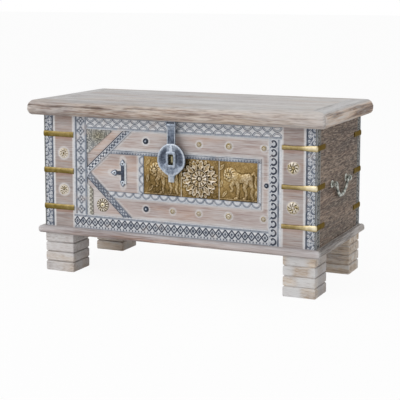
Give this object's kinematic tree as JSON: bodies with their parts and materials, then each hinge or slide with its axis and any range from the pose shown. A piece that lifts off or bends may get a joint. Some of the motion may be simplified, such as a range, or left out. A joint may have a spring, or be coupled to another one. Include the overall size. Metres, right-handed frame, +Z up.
{
  "type": "blanket chest",
  "caption": "Low wooden chest with a hinged round-edged lid, a front of carved borders and embossed brass panels, corner straps, a hanging hasp, drop handles and grooved feet.",
  "frame": {"origin": "on the floor under the middle of the overall box", "axes": "+X to the right seen from the front, +Y to the back, +Z up"},
  "size_m": [0.9, 0.44, 0.4994],
  "materials": {
    "limed_wood": "limed and brushed",
    "side_wood": "worn grey brown",
    "lid_wood": "limed and waxed",
    "carved_wood": "washed blue grey",
    "brass_sheet": "aged, embossed",
    "iron": "blued, worn"
  },
  "bodies": {
    "carcass": {"front_panel": "limed_wood", "stile_left": "limed_wood", "stile_right": "limed_wood", "base_front": "limed_wood", "base_left": "limed_wood", "base_right": "limed_wood", "base_back": "limed_wood", "foot_front_left": "limed_wood", "foot_front_right": "limed_wood", "foot_back_left": "limed_wood", "foot_back_right": "limed_wood", "left_side_panel": "side_wood", "right_side_panel": "side_wood", "back_panel": "side_wood", "bottom_board": "side_wood", "post_front_left": "carved_wood", "post_front_right": "carved_wood", "post_back_left": "carved_wood", "post_back_right": "carved_wood", "border_top": "carved_wood", "border_bottom": "carved_wood", "border_left": "carved_wood", "border_right": "carved_wood", "diagonal_upper": "carved_wood", "diagonal_lower": "carved_wood", "corner_carving": "carved_wood", "carved_strip": "carved_wood", "inner_border_top": "carved_wood", "inner_border_bottom": "carved_wood", "inner_border_left": "carved_wood", "inner_border_right": "carved_wood", "brass_panel_left": "brass_sheet", "brass_panel_centre": "brass_sheet", "brass_panel_right": "brass_sheet", "straps_front_left": "brass_sheet", "straps_front_right": "brass_sheet", "straps_back_left": "brass_sheet", "straps_back_right": "brass_sheet", "stile_rosettes": "brass_sheet", "sunburst_rosette": "brass_sheet", "brass_studs": "brass_sheet", "iron_studs": "iron", "t_ornament": "iron", "hasp_staple": "iron", "hinge_body_leaves": "iron", "hinge_pins": "iron", "handle_eyes_left": "iron", "handle_eyes_right": "iron"},
    "lid": {"lid_panel": "lid_wood", "lid_rail_front": "lid_wood", "lid_rail_back": "lid_wood", "lid_rail_left": "lid_wood", "lid_rail_right": "lid_wood", "hinge_lid_leaves": "iron", "hasp_hanger": "iron"},
    "hasp": {"hasp": "iron"},
    "left_handle": {"bail_left": "iron"},
    "right_handle": {"bail_right": "iron"}
  },
  "joints": [
    {"name": "lid_hinge", "type": "hinge", "parent": "carcass", "child": "lid", "pos_m": [0, 0.216, 0.4514], "axis": [-1, 0, 0], "range_deg": [0, 95]},
    {"name": "hasp_pivot", "type": "hinge", "parent": "lid", "child": "hasp", "pos_m": [0, -0.195, 0.4464], "axis": [-1, 0, 0], "range_deg": [-5, 95]},
    {"name": "left_bail_pivot", "type": "hinge", "parent": "carcass", "child": "left_handle", "pos_m": [-0.4225, 0.015, 0.28998], "axis": [0, 1, 0], "range_deg": [0, 100]},
    {"name": "right_bail_pivot", "type": "hinge", "parent": "carcass", "child": "right_handle", "pos_m": [0.4225, 0.015, 0.28998], "axis": [0, -1, 0], "range_deg": [0, 100]}
  ]
}
